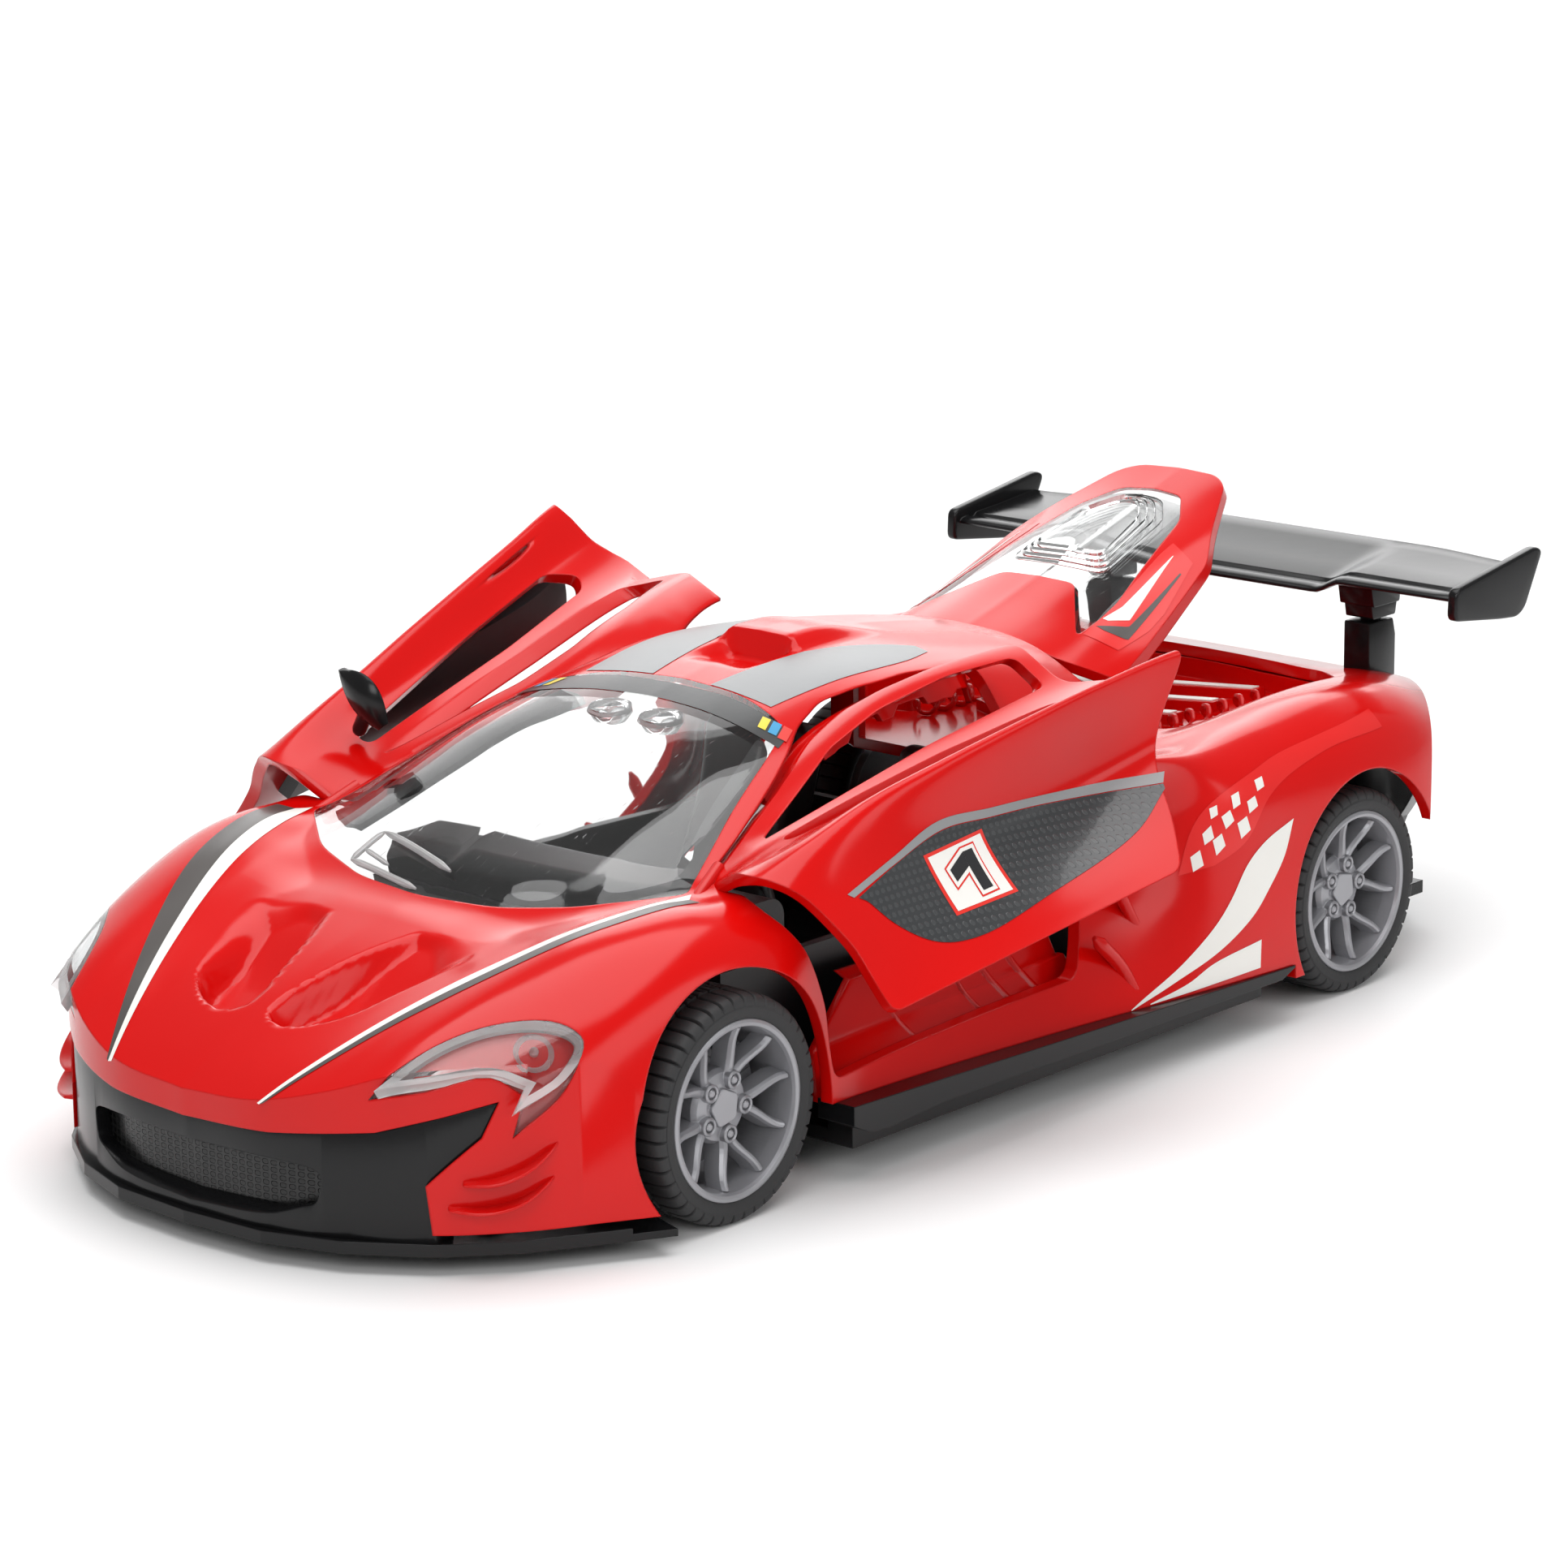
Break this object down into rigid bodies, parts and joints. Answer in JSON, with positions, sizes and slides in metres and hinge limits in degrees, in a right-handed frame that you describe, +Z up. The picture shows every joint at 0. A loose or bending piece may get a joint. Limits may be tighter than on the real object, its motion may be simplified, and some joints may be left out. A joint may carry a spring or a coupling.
{
  "type": "pull back car",
  "caption": "Toy sports car with a pull back spring motor, two upward-swinging doors, a lifting engine cover and a rear wing.",
  "frame": {"origin": "on the ground plane the tyres stand on, midway between the front splitter and the wing's rear edge, on the centre line", "axes": "+X towards the car's front, +Y towards its left side, +Z up"},
  "size_m": [0.192, 0.1147, 0.0566],
  "materials": {
    "red_plastic": "glossy moulded, deep red",
    "clear_plastic": "clear moulded",
    "black_plastic": "satin moulded, black",
    "interior_plastic": "satin moulded, black",
    "rim_silver": "silver grey plastic, satin",
    "tyre_black": "matte charcoal",
    "disc_grey": "satin grey",
    "motor_case": "satin moulded, dark grey",
    "gear_white": "natural white",
    "steel": "bright drawn wire and sheet"
  },
  "bodies": {
    "car_body": {"body_shell": "red_plastic", "engine_bay_tray": "red_plastic", "windscreen": "clear_plastic", "headlight_lens_left": "clear_plastic", "headlight_lens_right": "clear_plastic", "front_grille": "black_plastic", "rear_valance": "black_plastic", "chassis_base": "black_plastic", "wing_blade": "black_plastic", "wing_strut_left": "black_plastic", "wing_strut_right": "black_plastic", "interior_tub": "interior_plastic", "dashboard": "interior_plastic", "seat_left": "interior_plastic", "seat_right": "interior_plastic", "steering_wheel": "interior_plastic", "motor_housing_lower": "motor_case", "motor_housing_upper": "motor_case", "cover_hinge_pin": "steel", "door_hinge_pins": "steel", "chassis_screws": "steel"},
    "front_axle": {"front_axle": "steel", "rim_front_left": "rim_silver", "rim_front_right": "rim_silver", "tyre_front_left": "tyre_black", "tyre_front_right": "tyre_black", "front_brake_discs": "disc_grey"},
    "rear_axle": {"rear_axle": "steel", "rim_rear_left": "rim_silver", "rim_rear_right": "rim_silver", "tyre_rear_left": "tyre_black", "tyre_rear_right": "tyre_black", "rear_brake_discs": "disc_grey", "axle_pinion": "gear_white"},
    "idler": {"idler_gear": "gear_white", "idler_shaft": "steel"},
    "spring_drum": {"spring_gear": "gear_white", "spring_shaft": "steel", "mainspring": "steel"},
    "left_door": {"left_door": "red_plastic", "left_door_trim": "interior_plastic"},
    "right_door": {"right_door": "red_plastic", "right_door_trim": "interior_plastic", "right_mirror": "black_plastic"},
    "engine_cover": {"engine_cover": "red_plastic", "engine_cover_window": "clear_plastic"}
  },
  "joints": [
    {"name": "front_axle_spin", "type": "hinge", "parent": "car_body", "child": "front_axle", "pos_m": [0.0545, 0, 0.0125], "axis": [0, 1, 0], "continuous": true},
    {"name": "rear_axle_spin", "type": "hinge", "parent": "car_body", "child": "rear_axle", "pos_m": [-0.05675, 0, 0.0125], "axis": [0, 1, 0], "continuous": true},
    {"name": "idler_spin", "type": "hinge", "parent": "car_body", "child": "idler", "pos_m": [-0.04835, 0, 0.0125], "axis": [0, 1, 0], "continuous": true},
    {"name": "spring_spin", "type": "hinge", "parent": "car_body", "child": "spring_drum", "pos_m": [-0.03575, 0, 0.0125], "axis": [0, 1, 0], "continuous": true},
    {"name": "left_door_hinge", "type": "hinge", "parent": "car_body", "child": "left_door", "pos_m": [0.0463, 0.0286, 0.0327], "axis": [-0.8888, -0.2297, 0.3965], "range_deg": [-20, 32]},
    {"name": "right_door_hinge", "type": "hinge", "parent": "car_body", "child": "right_door", "pos_m": [0.0463, -0.0286, 0.0327], "axis": [-0.8888, 0.2297, 0.3965], "range_deg": [-42, 10]},
    {"name": "engine_cover_hinge", "type": "hinge", "parent": "car_body", "child": "engine_cover", "pos_m": [-0.0336, 0, 0.0406], "axis": [0, 1, 0], "range_deg": [-31, 14]}
  ],
  "couplings": [
    {"joint": "idler_spin", "follows": "rear_axle_spin", "ratio": -0.75},
    {"joint": "spring_spin", "follows": "rear_axle_spin", "ratio": 0.46154}
  ]
}
